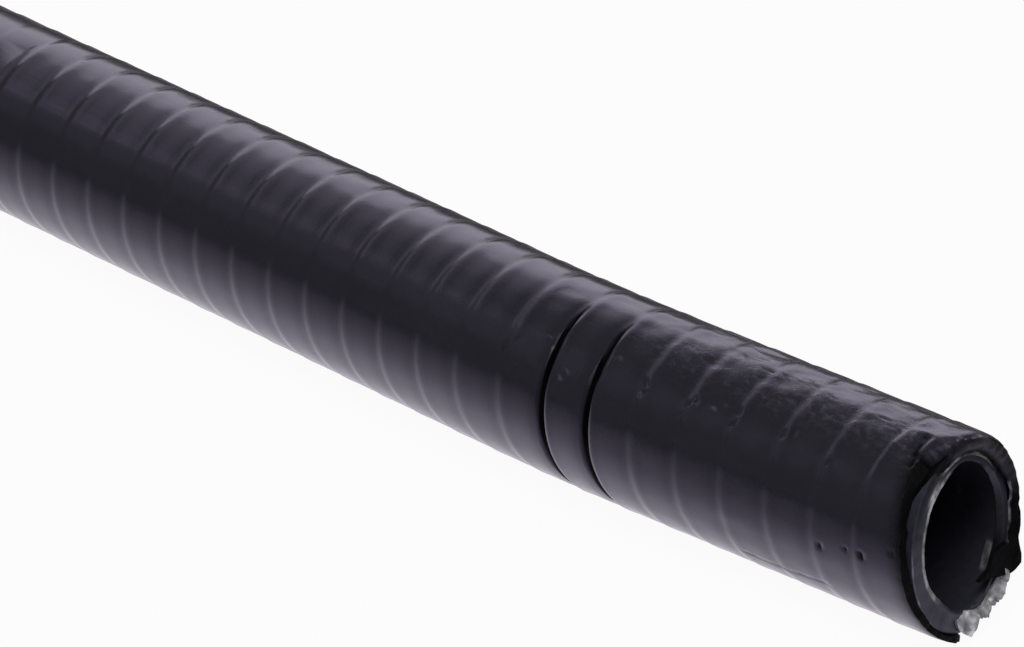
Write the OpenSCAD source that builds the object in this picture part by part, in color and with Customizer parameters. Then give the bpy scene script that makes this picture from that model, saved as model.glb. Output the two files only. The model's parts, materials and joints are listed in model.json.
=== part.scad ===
// Covered flexible steel conduit: a strip wound core under an extruded sheath.
// The stock lies along +X. Its square end is at the origin and its slanted, hand cut end is at +X.
// A core like this bends at its seams, so the stock is a row of straight runs with a seam after each.
// Its middle bows a little to -Y, and near the cut it bends a little to +Y.

/* [Stock] */
// Length along the axis, from the square end to the middle of the slanted cut
stock_l = 1000; // [900:5:2000]
// Slope of the cut seen from above, with the -Y side forward
cut_skew = 16; // [0:0.5:20]
// Slope of the cut seen from the side, with the underside forward
cut_lean = 4; // [0:0.5:20]
// How far the sheath stands past the core at the cut
sheath_proud = 1; // [0:0.1:2]

/* [Core] */
// Clear bore of the core
bore_d = 12.5; // [9:0.1:20]
// Depth of the folded strip, from the bore to the outside of the core
fold_depth = 1.6; // [1.2:0.05:3]
// Length of one turn of the strip along the axis
turn_pitch = 5.65; // [4:0.05:8]
// Width of the open seam between two turns
seam_w = 0.5; // [0.3:0.05:1]
// Depth of the seam, outside and in the bore
seam_depth = 0.4; // [0.1:0.05:0.5]

/* [Sheath] */
// Wall of the extruded sheath
sheath_wall = 0.95; // [0.8:0.05:2]
// Room between the core and the sheath
sheath_fit = 0.1; // [0.05:0.05:0.3]
// Width of the mark that each turn leaves in the sheath
mark_w = 0.8; // [0.5:0.05:1.5]
// Depth of that mark
mark_depth = 0.15; // [0.05:0.05:0.3]

/* [Bow] */
// Angle of each half of the slight bow that the coil left in the stock
bow_angle = 0.6; // [0.2:0.05:1]
// Length of each half, which ends at a whole turn
bow_half_l = 396; // [100:1:400]

/* [Bend] */
// Angle of the whole bend
bend_angle = 3.9; // [0.5:0.1:8]
// Number of seams that take up the bend
bend_seams = 4; // [2:1:8]
// Distance from the last of those seams to the middle of the cut
end_l = 37.6; // [20:0.1:80]
// Number of those seams, next to the cut end, where the sheath is creased
creases = 2; // [1:1:2]
// Width of a crease
crease_w = 0.7; // [0.5:0.05:1.2]
// Depth of a crease
crease_depth = 0.45; // [0.2:0.05:0.5]

/* [Hidden] */
$fn = 96;
bore_r = bore_d / 2;
core_r = bore_r + fold_depth;
sheath_in = core_r + sheath_fit;
sheath_r = sheath_in + sheath_wall;
bow_l = floor(bow_half_l / turn_pitch) * turn_pitch;
// Straight run from the square end to the bow
first_l = stock_l - end_l - (bend_seams - 1) * turn_pitch - 2 * bow_l;
seam_angle = bend_angle / bend_seams;
// The runs before the last: the length of each, and the angle that its end seam takes up
runs = concat(
    [[first_l, -bow_angle], [bow_l, 2 * bow_angle], [bow_l, seam_angle]],
    [for (i = [2 : bend_seams]) [turn_pitch, seam_angle]]
);
bent = len(runs);
// How deep a bent seam opens on the hidden inside of the sheath
sheath_relief = 0.15;
// How far the web of a bent seam reaches into the run on either side
web_lap = 0.3;
// How far the slanted cut reaches back and forward from its middle
cut_reach = sheath_r * (tan(cut_skew) + tan(cut_lean));
// The last run is made this much longer, and the slanted cut trims it.
trim_l = sheath_proud + 2 * cut_reach + turn_pitch;

// Seams of a straight run, counted from one end of it. The last run has none where the cut reaches.
function seams(run_l) = [for (s = [turn_pitch : turn_pitch : run_l - turn_pitch / 4]) s];
function end_seams(w) = [for (s = [turn_pitch : turn_pitch : end_l - cut_reach - w / 2]) s];

// A V notch at each place along one face of a wall: points of (along, radius).
function notches(places, radius, w, depth) = [
    for (s = places) each [[s - w / 2, radius], [s, radius - depth], [s + w / 2, radius]]
];

function reversed(points) = [for (i = [len(points) - 1 : -1 : 0]) points[i]];

// A straight tube along +X from one place to another, notched at its seams.
module tube(from, to, r_out, r_in, places = [], w = 0, out_depth = 0, in_depth = 0) {
    outside = out_depth > 0 ? notches(places, r_out, w, out_depth) : [];
    inside = in_depth > 0 ? notches(places, r_in, w, -in_depth) : [];
    section = concat(
        [[from, r_out]], outside, [[to, r_out], [to, r_in]], reversed(inside), [[from, r_in]]
    );
    rotate([0, 90, 0])
        rotate_extrude()
            polygon([for (q = section) [q[1], q[0]]]);
}

// The frame of run number i, counted from 0, with +X along it.
module at_run(i) {
    if (i == 0)
        children();
    else
        at_run(i - 1)
            translate([runs[i - 1][0], 0, 0])
                rotate([0, 0, runs[i - 1][1]])
                    children();
}

// A whole wall along the stock. w and depth give the notch of a plain seam. bent_w and bent_depth list
// those of the bent seams, where a web joins two runs.
module wall(r_out, r_in, w, depth, in_depth, bent_w, bent_depth, relief, proud) {
    difference() {
        union() {
            for (i = [0 : bent - 1]) {
                at_run(i)
                    tube(
                        i == 0 ? 0 : bent_w[i - 1] / 2, runs[i][0] - bent_w[i] / 2, r_out, r_in,
                        reversed([for (s = seams(runs[i][0])) runs[i][0] - s]), w, depth, in_depth
                    );
                at_run(i + 1)
                    tube(
                        -bent_w[i] / 2 - web_lap, bent_w[i] / 2 + web_lap,
                        r_out - bent_depth[i], r_in + relief
                    );
            }
            at_run(bent)
                tube(
                    bent_w[bent - 1] / 2, end_l + trim_l, r_out, r_in,
                    end_seams(w), w, depth, in_depth
                );
        }
        at_run(bent)
            past_cut(proud);
    }
}

// Everything past the slanted cut.
module past_cut(proud) {
    reach = 3 * sheath_r;
    translate([end_l + proud, 0, 0])
        rotate([0, -cut_lean, cut_skew])
            translate([0, -reach, -reach])
                cube(2 * reach);
}

// The extruded sheath, marked by each turn under it and creased at the end of the bend.
module pvc_cover() {
    creased = [for (i = [0 : bent - 1]) i >= bent - creases];
    color([0.13, 0.13, 0.15])
        wall(
            sheath_r, sheath_in, mark_w, mark_depth, 0,
            [for (c = creased) c ? crease_w : mark_w],
            [for (c = creased) c ? crease_depth : mark_depth],
            sheath_relief, sheath_proud
        );
}

// The strip wound core: a folded wall with an open seam between its turns.
module steel_core() {
    color([0.42, 0.43, 0.46])
        wall(
            core_r, bore_r, seam_w, seam_depth, seam_depth,
            [for (r = runs) seam_w],
            [for (r = runs) seam_depth],
            seam_depth, 0
        );
}

pvc_cover();
steel_core();
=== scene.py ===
# %% [markdown]
# # The cut end of a covered flexible conduit
#
# A steel strip is folded and wound into a tube that bends, and a black plastic cover is extruded over it.
# Cables run through the bore. This lesson dresses a CAD model of one metre of it: the CAD part says where
# the tube lies, how it bends and how thick it is, and Blender adds what the eye sees at a hand cut end.
# The box of the CAD model is kept, because the dressed tube has to stay inside it.

# %% Load the CAD frame
import json
import math

import bmesh
import bpy
import numpy as np
from mathutils import Matrix, Vector


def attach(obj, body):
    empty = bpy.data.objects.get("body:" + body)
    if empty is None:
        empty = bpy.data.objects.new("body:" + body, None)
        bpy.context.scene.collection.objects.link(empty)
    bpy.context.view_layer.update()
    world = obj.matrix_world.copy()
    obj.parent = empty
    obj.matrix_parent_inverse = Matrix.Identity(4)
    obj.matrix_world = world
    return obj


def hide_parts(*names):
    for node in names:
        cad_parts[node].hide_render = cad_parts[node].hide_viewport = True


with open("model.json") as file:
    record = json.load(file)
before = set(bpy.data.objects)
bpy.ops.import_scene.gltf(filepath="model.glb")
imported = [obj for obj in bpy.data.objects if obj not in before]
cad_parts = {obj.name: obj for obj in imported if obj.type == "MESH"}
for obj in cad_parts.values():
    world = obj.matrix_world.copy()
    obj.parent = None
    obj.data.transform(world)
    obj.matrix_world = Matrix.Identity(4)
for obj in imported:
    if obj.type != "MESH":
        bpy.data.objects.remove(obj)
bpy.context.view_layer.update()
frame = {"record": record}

MM = 0.001

# %% [markdown]
# ## Sizes
#
# All sizes are millimetres. The two radii come from the part's own mounts, so the scene follows the CAD
# model. A place on the tube is given by two numbers: `along`, the distance from the elbow of the bend
# towards the cut, and `around`, the angle from the top towards the side that bulges, in degrees.

# %% Sizes of the stock
radius_of = {mount["name"]: mount["dims"]["r_mm"] for mount in frame["record"]["mounts"]}
BORE_R = radius_of["core_bore"]
COVER_R = radius_of["sheath_outside"]
COVER_WALL = 0.95
CORE_WALL = 1.6
COVER_IN_R = COVER_R - COVER_WALL
CORE_R = BORE_R + CORE_WALL
PITCH = 5.65
STOCK_L = 1000.0
END_L = 37.6
BEND_TURNS = 4
BEND_ANGLE = 3.9
BOW_ANGLE = 0.6
BOW_HALF_L = 70 * PITCH
ELBOW = STOCK_L - END_L - (BEND_TURNS - 1) / 2 * PITCH
SQUARE_END = -ELBOW
print(f"bore {BORE_R}, core {CORE_R}, cover {COVER_R} mm in radius; the elbow is at {ELBOW:.2f} mm")

# %% [markdown]
# ## The path that the tube follows
#
# A strip wound tube bends at its seams. The stock keeps a slight bow from its coil, and four turns near
# the cut take up a bend. A curve object with a bevel could follow such a path, but it would stretch the
# fine marks. Here every piece is made straight, at its real size, and laid on the path as the last step.

# %% The heading along the path
first_l = STOCK_L - END_L - (BEND_TURNS - 1) * PITCH - 2 * BOW_HALF_L
bends = (
    (first_l, PITCH, -BOW_ANGLE),
    (first_l + BOW_HALF_L, PITCH, 2 * BOW_ANGLE),
    (ELBOW, BEND_TURNS * PITCH, BEND_ANGLE),
)
PATH_STEP = 0.25
path_s = np.arange(0, STOCK_L + 20, PATH_STEP)
path_heading = np.zeros_like(path_s)
for middle, length, angle in bends:
    path_heading += math.radians(angle) * np.clip((path_s - middle) / length + 0.5, 0, 1)
path_x = np.concatenate([[0], np.cumsum(np.cos(path_heading[:-1]) * PATH_STEP)])
path_y = np.concatenate([[0], np.cumsum(np.sin(path_heading[:-1]) * PATH_STEP)])
print(f"the bow leaves the straight line by {-path_y.min():.2f} mm")

# %% [markdown]
# Three helpers work on many points at once, as numpy arrays: one goes from a place on the tube to a point,
# one goes back, and one lays straight points on the path.


# %% Lay straight points on the path
def lay_on_path(points):
    """Straight points, in mm, moved onto the bowed and bent path, in metres."""
    s = points[:, 0] + ELBOW
    heading = np.interp(s, path_s, path_heading)
    x = np.interp(s, path_s, path_x) - points[:, 1] * np.sin(heading)
    y = np.interp(s, path_s, path_y) + points[:, 1] * np.cos(heading)
    return np.column_stack([x, y, points[:, 2]]) * MM


def tube_points(along, around, radius):
    """Points of the straight tube from their place along it, their angle around it and their radius."""
    along, around, radius = np.broadcast_arrays(along, np.radians(around), radius)
    return np.column_stack([along, -radius * np.sin(around), radius * np.cos(around)])


def tube_places(points):
    """The place along, angle around and radius of straight points."""
    around = np.degrees(np.arctan2(-points[:, 1], points[:, 2]))
    return points[:, 0], around, np.hypot(points[:, 1], points[:, 2])


bend_half = BEND_TURNS * PITCH / 2
before_bend = np.array([[-bend_half - 1, 0, 0], [-bend_half, 0, 0]])
tail_direction = np.diff(lay_on_path(before_bend), axis=0)[0]
corner_point = Vector(lay_on_path(before_bend)[1] + bend_half * tail_direction)
print("the two straight runs would meet at, mm:", [round(c / MM, 2) for c in corner_point])

# %% [markdown]
# ## Small helpers
#
# Node trees are built here in the script, for geometry and for materials alike. One helper adds a node,
# sets its options and fills its inputs, each with a value, a socket or another node's first output. The
# other two turn a colour to linear light and start a material.


# %% Node and colour helpers
def add(tree, kind, inputs=None, **settings):
    """A new node with its settings, and its inputs set to values or linked to other nodes."""
    made = tree.nodes.new(kind)
    for name, value in settings.items():
        setattr(made, name, value)
    for name, value in (inputs or {}).items():
        if isinstance(value, bpy.types.Node):
            value = value.outputs[0]
        if isinstance(value, bpy.types.NodeSocket):
            tree.links.new(value, made.inputs[name])
        else:
            made.inputs[name].default_value = value
    return made


def linear(hex_colour):
    """An sRGB hex colour as the linear RGBA that Blender's sockets take."""
    values = [int(hex_colour[i : i + 2], 16) / 255 for i in (1, 3, 5)]
    return [v / 12.92 if v <= 0.04045 else ((v + 0.055) / 1.055) ** 2.4 for v in values] + [1.0]


def new_material(name):
    """A new material, its node tree, and the place on the object that its patterns follow."""
    made = bpy.data.materials.new(name)
    made.use_nodes = True
    tree = made.node_tree
    tree.nodes.clear()
    return made, tree, add(tree, "ShaderNodeTexCoord").outputs["Object"]


print("the grey #808080 in linear light:", round(linear("#808080")[0], 3))

# %% [markdown]
# ## The cover's plastic
#
# The cover is plasticised PVC, drawn hot out of a die over the core. That leaves a nearly black, satin
# skin with faint lengthwise streaks. Handling scuffs it grey, most of all on top near the cut. The script
# stores how scuffed each point is in an attribute, and the material breaks that up with noise. The same
# attribute carries the painted glint on the cut and the painted highlights on the core. A painted picture
# could say the same, but an attribute stays with its points however the tube is bent.

# %% Patterns of the extruded PVC
black_pvc, tree, place = new_material("extruded_black_pvc")
# Real die lines and grain are some 0.05 mm wide. Both are drawn coarser, so that they show in a render.
STREAK_L, STREAK_W = 5.0 * MM, 0.22 * MM
CLOUD_L, GRAIN_L = 7.0 * MM, 0.3 * MM
SCRAPE_L, SCRAPE_W = 0.9 * MM, 0.55 * MM
drawn = add(
    tree, "ShaderNodeMapping", {"Vector": place, "Scale": (1 / STREAK_L, 1 / STREAK_W, 1 / STREAK_W)}
)
streaks = add(tree, "ShaderNodeTexNoise", {"Vector": drawn, "Scale": 1.0, "Detail": 3.0})
clouds = add(tree, "ShaderNodeTexNoise", {"Vector": place, "Scale": 1 / CLOUD_L, "Detail": 2.0})
grain = add(tree, "ShaderNodeTexNoise", {"Vector": place, "Scale": 1 / GRAIN_L, "Detail": 3.0})
wear = add(tree, "ShaderNodeAttribute", attribute_name="wear_and_highlight").outputs["Fac"]
scuff_and_glint_pattern = add(
    tree, "ShaderNodeMapping", {"Vector": place, "Scale": (1 / SCRAPE_L, 1 / SCRAPE_W, 1 / SCRAPE_W)}
)
scrapes = add(
    tree, "ShaderNodeTexNoise", {"Vector": scuff_and_glint_pattern, "Scale": 1.0, "Detail": 3.0, "Distortion": 0.3}
)
scuffed = add(tree, "ShaderNodeMapRange", {"Value": scrapes, "From Min": 0.48, "From Max": 0.72})
scuff = add(tree, "ShaderNodeMath", {0: scuffed, 1: wear}, operation="MULTIPLY")
print("patterns of the PVC:", len(tree.nodes), "nodes")

# %% [markdown]
# These patterns now set the colour, the gloss and the relief. A second attribute paints shade black and
# dull: in the creases, the pits, the furrows and on the shaded edge of the cut, and it also blackens the torn
# cut face. A deep crease could be left to the lamps alone, but at this size too little shade gathers in it.

# %% Extruded black PVC
# To the eye it is a nearly black satin that takes a violet grey shine from a low light.
skin = add(
    tree,
    "ShaderNodeMix",
    {"Factor": clouds, "A": linear("#25242A"), "B": linear("#2C2B32")},
    data_type="RGBA",
)
colour = add(
    tree,
    "ShaderNodeMix",
    {"Factor": scuff, "A": skin.outputs["Result"], "B": linear("#45434D")},
    data_type="RGBA",
)
satin = add(
    tree,
    "ShaderNodeMapRange",
    {"Value": streaks, "From Min": 0.3, "From Max": 0.7, "To Min": 0.15, "To Max": 0.23},
)
# Painted shade: this attribute blackens creases, pits, furrows and the shaded edge, and the torn cut face.
black_and_painted_shade = add(tree, "ShaderNodeAttribute", attribute_name="black_and_painted_shade").outputs["Fac"]
colour = add(
    tree,
    "ShaderNodeMix",
    {"Factor": black_and_painted_shade, "A": colour.outputs["Result"], "B": linear("#060607")},
    data_type="RGBA",
)
rough = add(tree, "ShaderNodeMath", {0: wear, 1: 0.04, 2: satin}, operation="MULTIPLY_ADD")
rough = add(tree, "ShaderNodeMath", {0: black_and_painted_shade, 1: 0.3, 2: rough}, operation="MULTIPLY_ADD")
gloss = add(
    tree, "ShaderNodeMix", {"Factor": black_and_painted_shade, "A": linear("#E2D6FF"), "B": linear("#000000")}, data_type="RGBA"
)
relief = add(tree, "ShaderNodeMath", {0: scuff, 1: 1.4, 2: grain}, operation="MULTIPLY_ADD")
bump = add(tree, "ShaderNodeBump", {"Height": relief, "Strength": 0.25, "Distance": 0.03 * MM})
# PVC has an IOR of about 1.53. The drawn skin looks shinier than that, so it is matched at 1.68.
pvc = add(
    tree,
    "ShaderNodeBsdfPrincipled",
    {
        "Base Color": colour.outputs["Result"],
        "Roughness": rough,
        "IOR": 1.68,
        "Specular Tint": gloss.outputs["Result"],
        "Normal": bump,
    },
)
add(tree, "ShaderNodeOutputMaterial", {"Surface": pvc})
print(black_pvc.name, len(tree.nodes), "nodes")

# %% [markdown]
# ## The torn plastic
#
# Where the cover was cut and torn, its inside shows: the same plastic, but rough and without gloss. Plain
# black would look like a hole. A bump at the size of the tears lets the torn face still catch a little light.

# %% Torn black PVC
# To the eye it is a soot black with a faint tooth. Small tears trap the light, so its specular level is low.
torn_pvc, tree, place = new_material("torn_black_pvc")
TEAR_L = 0.5 * MM
tear = add(tree, "ShaderNodeTexNoise", {"Vector": place, "Scale": 1 / TEAR_L, "Detail": 5.0})
bump = add(tree, "ShaderNodeBump", {"Height": tear, "Strength": 0.7, "Distance": 0.25 * MM})
shade = add(
    tree,
    "ShaderNodeMix",
    {"Factor": tear, "A": linear("#050506"), "B": linear("#0F0E11")},
    data_type="RGBA",
)
pvc = add(
    tree,
    "ShaderNodeBsdfPrincipled",
    {
        "Base Color": shade.outputs["Result"],
        "Roughness": 0.7,
        "IOR": 1.53,
        "Specular IOR Level": 0.08,
        "Normal": bump,
    },
)
add(tree, "ShaderNodeOutputMaterial", {"Surface": pvc})
print(torn_pvc.name, len(tree.nodes), "nodes")

# %% [markdown]
# ## The painted glint
#
# On the far side of the cut the inner edge of the cover catches the light as a thin pale line. It is a
# painted
# highlight: this narrow band has a material of its own, because no other place is as pale.

# %% Painted glint on black PVC
# A painted highlight: a row of short, pale streaks over black.
painted_glint_pvc, tree, place = new_material("painted_glint_black_pvc")
GLINT_NOISE_L = 0.8 * MM
scuff_and_glint_pattern = add(tree, "ShaderNodeTexNoise", {"Vector": place, "Scale": 1 / GLINT_NOISE_L, "Detail": 4.0})
wear_and_highlight = add(tree, "ShaderNodeAttribute", attribute_name="wear_and_highlight").outputs["Fac"]
glint_breakup = add(tree, "ShaderNodeMapRange", {"Value": scuff_and_glint_pattern, "From Min": 0.35, "From Max": 0.65})
glint_breakup = add(tree, "ShaderNodeMath", {0: glint_breakup, 1: wear_and_highlight}, operation="MULTIPLY")
shade = add(
    tree,
    "ShaderNodeMix",
    {"Factor": glint_breakup, "A": linear("#17171A"), "B": linear("#C4C3CC")},
    data_type="RGBA",
)
pvc = add(
    tree, "ShaderNodeBsdfPrincipled", {"Base Color": shade.outputs["Result"], "Roughness": 0.5, "IOR": 1.53}
)
add(tree, "ShaderNodeOutputMaterial", {"Surface": pvc})
print(painted_glint_pvc.name, len(tree.nodes), "nodes")

# %% [markdown]
# ## The core's steel
#
# The core is cold rolled steel strip with a thin coat of zinc, dulled to a dark blue grey. Where the saw
# went through and where the strip tore, the metal is bright, and a few bright lines and a glint are painted
# highlights. Two materials could meet there, but only along the edges of faces. One material with an
# attribute for bare metal and painted highlights lets noise fray the border instead.

# %% The zinc and the bare metal
# To the eye it is a dull blue grey with bright, broken patches.
strip_steel, tree, place = new_material("zinc_coated_strip")
SPANGLE_L, PATCH_L = 0.9 * MM, 1.1 * MM
dull = add(tree, "ShaderNodeTexNoise", {"Vector": place, "Scale": 1 / SPANGLE_L, "Detail": 4.0})
zinc = add(
    tree,
    "ShaderNodeMix",
    {"Factor": dull, "A": linear("#34343F"), "B": linear("#4E4E5C")},
    data_type="RGBA",
)
torn = add(tree, "ShaderNodeTexNoise", {"Vector": place, "Scale": 1 / PATCH_L, "Detail": 2.5})
patches = add(tree, "ShaderNodeMapRange", {"Value": torn, "From Min": 0.28, "From Max": 0.62})
bright = add(
    tree,
    "ShaderNodeMix",
    {"Factor": patches, "A": linear("#77777F"), "B": linear("#FAFAFC")},
    data_type="RGBA",
)
print("zinc and bare metal:", len(tree.nodes), "nodes")

# %% [markdown]
# The noise is added to the first attribute before the two are mixed, so the border of a bright patch breaks
# up. In the corners and in the shadow of the curled cover, the second attribute darkens the metal: painted
# shade. The coat is dull with oxide, so the material is only partly metallic.

# %% Zinc coated strip
wear_and_highlight = add(tree, "ShaderNodeAttribute", attribute_name="wear_and_highlight").outputs["Fac"]
broken = add(
    tree,
    "ShaderNodeMapRange",
    {"Value": torn, "From Min": 0.3, "From Max": 0.7, "To Min": -0.2, "To Max": 0.2},
)
edged = add(tree, "ShaderNodeMath", {0: wear_and_highlight, 1: broken}, operation="ADD")
bare = add(tree, "ShaderNodeMath", {0: edged, 1: wear_and_highlight}, operation="MULTIPLY", use_clamp=True)
tone = add(
    tree,
    "ShaderNodeMix",
    {"Factor": bare, "A": zinc.outputs["Result"], "B": bright.outputs["Result"]},
    data_type="RGBA",
)
# Painted shade: darker in the corners and in the shadow of the curled cover.
painted_steel_shade = add(tree, "ShaderNodeAttribute", attribute_name="black_and_painted_shade").outputs["Fac"]
tone = add(
    tree,
    "ShaderNodeMix",
    {"Factor": painted_steel_shade, "A": tone.outputs["Result"], "B": linear("#08080A")},
    data_type="RGBA",
)
bump = add(tree, "ShaderNodeBump", {"Height": dull, "Strength": 0.3, "Distance": 0.06 * MM})
steel = add(
    tree,
    "ShaderNodeBsdfPrincipled",
    {"Base Color": tone.outputs["Result"], "Metallic": 0.6, "Roughness": 0.5, "Normal": bump},
)
add(tree, "ShaderNodeOutputMaterial", {"Surface": steel})
print(strip_steel.name, len(tree.nodes), "nodes")

# %% [markdown]
# ## The winding
#
# The edge of each turn shows through the cover as a small helical step: a furrow with a ridge after it. In
# the bore it is an open seam. A screw modifier could wind a profile, but then the ends would be askew.
# This tree winds a grid instead: its rows follow the strip and crowd at each step, and rows past either
# end are pressed flat onto it. Each size is a named input, so that the same tree winds the cover and
# the bore.

# %% Inputs of the winding tree
winding = bpy.data.node_groups.new("winding", "GeometryNodeTree")
for name, kind in (
    ("Radius", "Float"),
    ("Pitch", "Float"),
    ("First place", "Float"),
    ("Last place", "Float"),
    ("Mark place", "Float"),
    ("Step width", "Float"),
    ("Step height", "Float"),
    ("Columns", "Int"),
    ("Rows a turn", "Int"),
    ("Crowding", "Float"),
    ("First turn", "Int"),
    ("Last turn", "Int"),
    ("Finish", "Material"),
):
    winding.interface.new_socket(name, in_out="INPUT", socket_type="NodeSocket" + kind)
winding.interface.new_socket("Geometry", in_out="OUTPUT", socket_type="NodeSocketGeometry")
given = add(winding, "NodeGroupInput").outputs
print("the winding's inputs:", [socket.name for socket in given if socket.name])

# %% [markdown]
# The tree starts from a flat grid, one side of it the turns and the other the angle around. A sine moves the
# rows towards the step, where the shape changes most. The helix gives each point its place along the tube,
# and a clamp presses the rows past either end onto that end.

# %% Rows that follow the strip
turns = add(winding, "ShaderNodeMath", {0: given["Last turn"], 1: given["First turn"]}, operation="SUBTRACT")
rows = add(winding, "ShaderNodeMath", {0: turns, 1: given["Rows a turn"], 2: 1.0}, operation="MULTIPLY_ADD")
columns = add(winding, "ShaderNodeMath", {0: given["Columns"], 1: 1.0}, operation="ADD")
grid = add(
    winding,
    "GeometryNodeMeshGrid",
    {"Size X": 1.0, "Size Y": 1.0, "Vertices X": rows, "Vertices Y": columns},
)
flat = add(winding, "ShaderNodeSeparateXYZ", {0: add(winding, "GeometryNodeInputPosition")})
even = add(
    winding,
    "ShaderNodeMapRange",
    {
        "Value": flat.outputs[0],
        "From Min": -0.5,
        "From Max": 0.5,
        "To Min": given["First turn"],
        "To Max": given["Last turn"],
    },
)
wave = add(winding, "ShaderNodeMath", {0: even, 1: 2 * math.pi}, operation="MULTIPLY")
ripple = add(winding, "ShaderNodeMath", {0: wave}, operation="SINE")
crowd = add(winding, "ShaderNodeMath", {0: given["Crowding"], 1: -1 / (2 * math.pi)}, operation="MULTIPLY")
turn = add(winding, "ShaderNodeMath", {0: ripple, 1: crowd, 2: even}, operation="MULTIPLY_ADD")

helix = add(winding, "ShaderNodeMath", {0: turn, 1: flat.outputs[1]}, operation="ADD")
along = add(
    winding,
    "ShaderNodeMath",
    {0: helix, 1: given["Pitch"], 2: given["Mark place"]},
    operation="MULTIPLY_ADD",
)
along = add(winding, "ShaderNodeClamp", {0: along, 1: given["First place"], 2: given["Last place"]})
print("rows and helix:", len(winding.nodes), "nodes")

# %% [markdown]
# The step is shaped like the slope of a bell: down into a furrow, up over a ridge and back. A vector rotation
# then winds the points around the axis, and Merge by Distance closes the long seam of the grid. The last two
# nodes leave a plain mesh with its material.

# %% The step and the finish
# The turn is worked out again from the place, so that the rows pressed onto an end agree on their radius.
helix = add(winding, "ShaderNodeMath", {0: along, 1: given["Mark place"]}, operation="SUBTRACT")
helix = add(winding, "ShaderNodeMath", {0: helix, 1: given["Pitch"]}, operation="DIVIDE")
turn = add(winding, "ShaderNodeMath", {0: helix, 1: flat.outputs[1]}, operation="SUBTRACT")
off_mark = add(winding, "ShaderNodeMath", {0: turn, 1: 0.5, 2: -0.5}, operation="WRAP")
off_mark = add(winding, "ShaderNodeMath", {0: off_mark, 1: given["Pitch"]}, operation="MULTIPLY")
off_mark = add(winding, "ShaderNodeMath", {0: off_mark, 1: given["Step width"]}, operation="DIVIDE")
bell = add(winding, "ShaderNodeMath", {0: off_mark, 1: off_mark}, operation="MULTIPLY")
bell = add(winding, "ShaderNodeMath", {0: bell, 1: -0.5, 2: 0.5}, operation="MULTIPLY_ADD")
bell = add(winding, "ShaderNodeMath", {0: bell}, operation="EXPONENT")
relief = add(winding, "ShaderNodeMath", {0: off_mark, 1: bell}, operation="MULTIPLY")
radius = add(
    winding,
    "ShaderNodeMath",
    {0: relief, 1: given["Step height"], 2: given["Radius"]},
    operation="MULTIPLY_ADD",
)
rod = add(winding, "ShaderNodeCombineXYZ", {0: along, 2: radius})
angle = add(winding, "ShaderNodeMath", {0: flat.outputs[1], 1: 2 * math.pi}, operation="MULTIPLY")
wound = add(winding, "ShaderNodeVectorRotate", {"Vector": rod, "Angle": angle}, rotation_type="X_AXIS")
placed = add(winding, "GeometryNodeSetPosition", {"Geometry": grid, "Position": wound})
welded = add(winding, "GeometryNodeMergeByDistance", {"Geometry": placed, "Distance": 0.001})
plain = add(winding, "GeometryNodeRealizeInstances", {"Geometry": welded})
finished = add(winding, "GeometryNodeSetMaterial", {"Geometry": plain, "Material": given["Finish"]})
add(winding, "NodeGroupOutput", {"Geometry": finished})
print("winding tree:", len(winding.nodes), "nodes")

# %% [markdown]
# A tree works in a modifier on an object, so one helper puts an object in the scene. The other sets the
# modifier's inputs by their identifiers, lets Blender work it out once, and keeps plain points and faces. It
# removes its object again, so that no modifier is left for the export to meet.

# %% A wound skin as plain points
# Mark number 0 crosses the top of the tube here.
MARK_PLACE = -2.6 - PITCH / 4


def new_object(name, data):
    """A new object in the scene."""
    made = bpy.data.objects.new(name, data)
    bpy.context.scene.collection.objects.link(made)
    return made


def wound_skin(look, first, last, columns, rows, crowding):
    """The points and faces of a wound skin from one place to another, still straight and in mm."""
    sizes = {
        **look,
        "Pitch": PITCH,
        "Mark place": MARK_PLACE,
        "First place": first,
        "Last place": last,
        "Columns": columns,
        "Rows a turn": rows,
        "Crowding": crowding,
        "First turn": math.floor((first - MARK_PLACE) / PITCH) - 1,
        "Last turn": math.ceil((last - MARK_PLACE) / PITCH) + 1,
    }
    base = new_object("winding_base", bpy.data.meshes.new("winding_base"))
    modifier = base.modifiers.new("winding", "NODES")
    modifier.node_group = winding
    for socket in winding.interface.items_tree:
        if socket.in_out == "INPUT":
            modifier[socket.identifier] = sizes[socket.name]
    made = bpy.data.meshes.new_from_object(base.evaluated_get(bpy.context.evaluated_depsgraph_get()))
    points = np.zeros(len(made.vertices) * 3)
    made.vertices.foreach_get("co", points)
    faces = [list(face.vertices) for face in made.polygons]
    bpy.data.objects.remove(base)
    bpy.data.meshes.remove(made)
    return points.reshape(-1, 3), faces


print("a turn is", PITCH, "mm long, so the stock has about", round(STOCK_L / PITCH), "turns")

# %% [markdown]
# ## A wall in the making
#
# The ends are not wound: they are cut by hand, so their rings of points are placed one by one. A small
# class collects points and faces and joins rings into bands. A mesh is made of the lot only at the end.


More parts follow.
